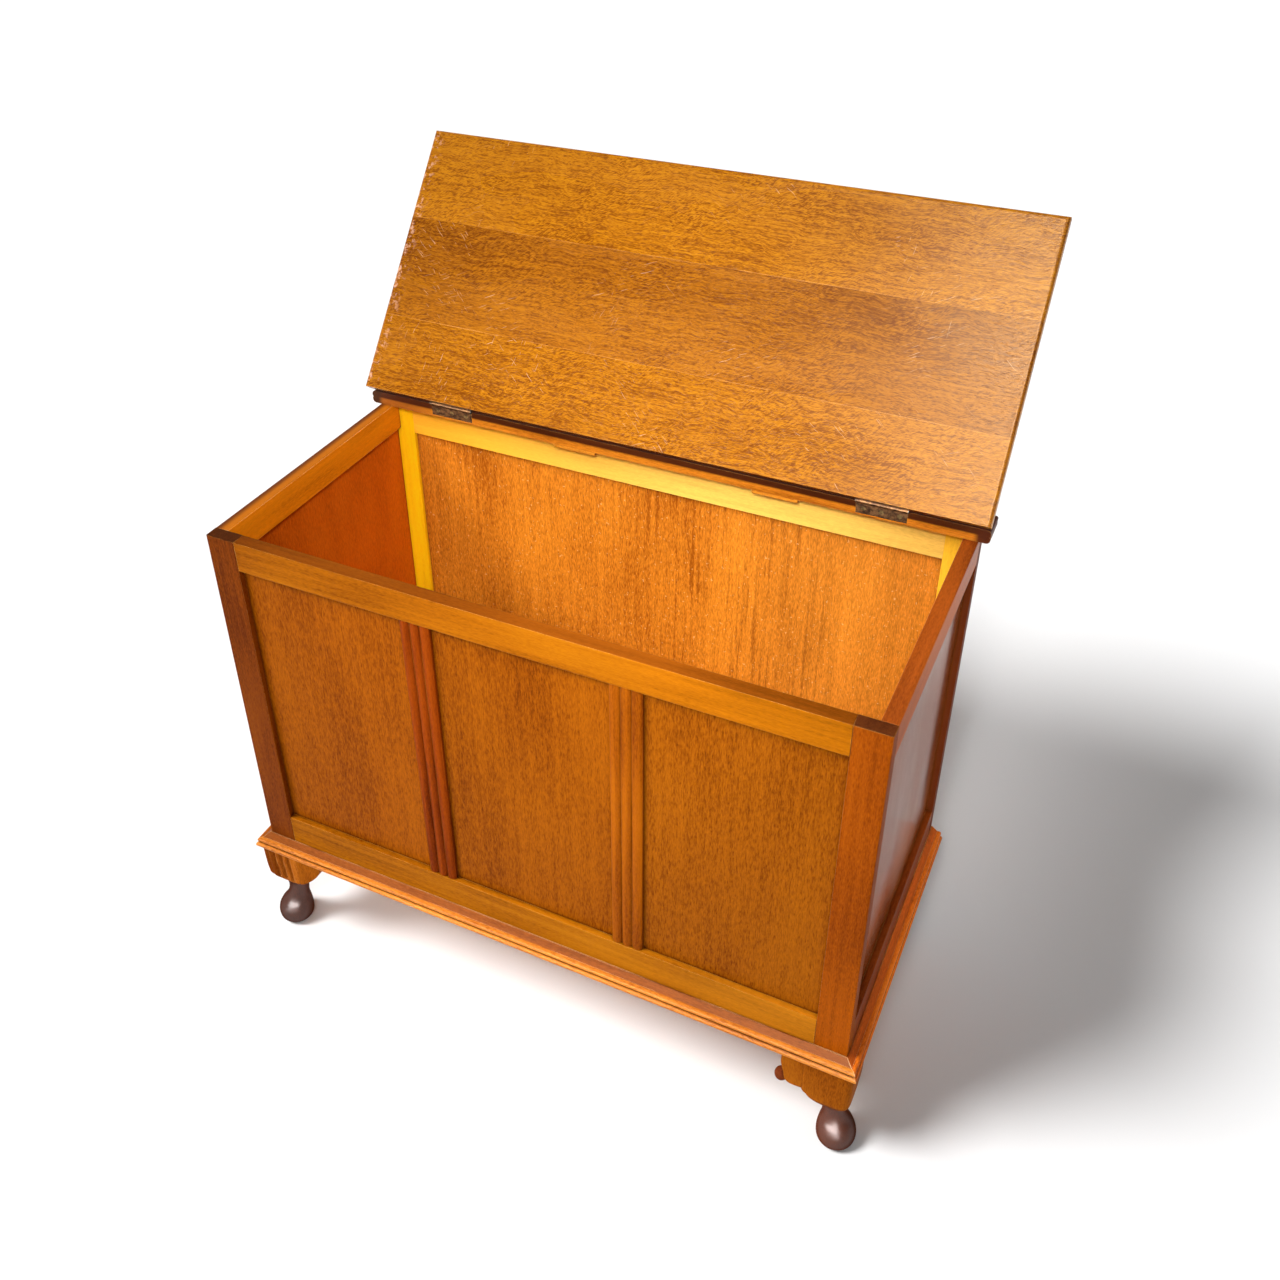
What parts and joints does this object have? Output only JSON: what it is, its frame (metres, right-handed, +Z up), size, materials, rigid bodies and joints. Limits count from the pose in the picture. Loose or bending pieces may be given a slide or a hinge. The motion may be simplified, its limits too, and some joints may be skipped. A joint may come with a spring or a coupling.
{
  "type": "wooden toy box",
  "caption": "Frame-and-panel wooden toy box with a reeded front, moulded base, short cabriole feet and a hinged lid that closes over an open chest.",
  "frame": {"origin": "middle of the footprint of the box with its lid open, on the floor", "axes": "+Z up; +X to the right as seen from the front; the front of the box faces -Y; the lid hinges about X"},
  "size_m": [0.8628, 0.6008, 0.9891],
  "materials": {
    "frame_oak": "satin polish, worn pale on the arrises",
    "panel_oak_ply": "satin polish, vertical oak grain",
    "inner_frame_wood": "thin pale yellow varnish",
    "back_ply": "matt varnish with dark vertical streaks",
    "lid_oak": "satin polish over figured oak, scratched",
    "hinge_rail_oak": "satin polish",
    "moulding_oak": "satin polish, pale on the beads",
    "foot_hardwood": "dark glossy polish",
    "foot_wing_oak": "satin polish, mottled",
    "inside_softwood": "bare wood",
    "floor_ply": "bare plywood",
    "hinge_bronze": "bronzed, tarnished",
    "hinge_pin_steel": "dull",
    "screw_brass": "tarnished"
  },
  "bodies": {
    "carcass": {"front_left_stile": "frame_oak", "front_right_stile": "frame_oak", "front_top_rail": "frame_oak", "front_bottom_rail": "frame_oak", "front_left_muntin": "frame_oak", "front_right_muntin": "frame_oak", "front_left_panel": "panel_oak_ply", "front_middle_panel": "panel_oak_ply", "front_right_panel": "panel_oak_ply", "left_top_rail": "frame_oak", "left_bottom_rail": "frame_oak", "left_panel": "panel_oak_ply", "right_top_rail": "frame_oak", "right_bottom_rail": "frame_oak", "right_panel": "panel_oak_ply", "back_left_stile": "inner_frame_wood", "back_right_stile": "inner_frame_wood", "back_top_rail": "inner_frame_wood", "back_bottom_rail": "inner_frame_wood", "back_panel": "back_ply", "bottom_board": "floor_ply", "floor_cleats": "inside_softwood", "corner_blocks": "inside_softwood", "front_base_mould": "moulding_oak", "left_base_mould": "moulding_oak", "right_base_mould": "moulding_oak", "front_left_foot": "foot_hardwood", "front_right_foot": "foot_hardwood", "rear_left_foot": "foot_hardwood", "rear_right_foot": "foot_hardwood", "front_left_foot_wings": "foot_wing_oak", "front_right_foot_wings": "foot_wing_oak", "rear_left_foot_wing": "foot_wing_oak", "rear_right_foot_wing": "foot_wing_oak", "foot_screws": "screw_brass", "hinge_rail": "hinge_rail_oak", "hinge_rail_dowels": "inside_softwood", "left_slip": "hinge_rail_oak", "right_slip": "hinge_rail_oak", "left_hinge_fixed_leaf": "hinge_bronze", "left_hinge_pin": "hinge_pin_steel", "right_hinge_fixed_leaf": "hinge_bronze", "right_hinge_pin": "hinge_pin_steel", "fixed_leaf_screws": "screw_brass"},
    "lid": {"lid_front_board": "lid_oak", "lid_middle_board": "lid_oak", "lid_rear_board": "lid_oak", "left_hinge_lid_leaf": "hinge_bronze", "right_hinge_lid_leaf": "hinge_bronze", "lid_leaf_screws": "screw_brass"}
  },
  "joints": [
    {"name": "lid_hinge", "type": "hinge", "parent": "carcass", "child": "lid", "pos_m": [0, 0.07656, 0.692], "axis": [1, 0, 0], "range_deg": [0, 128.3]}
  ]
}
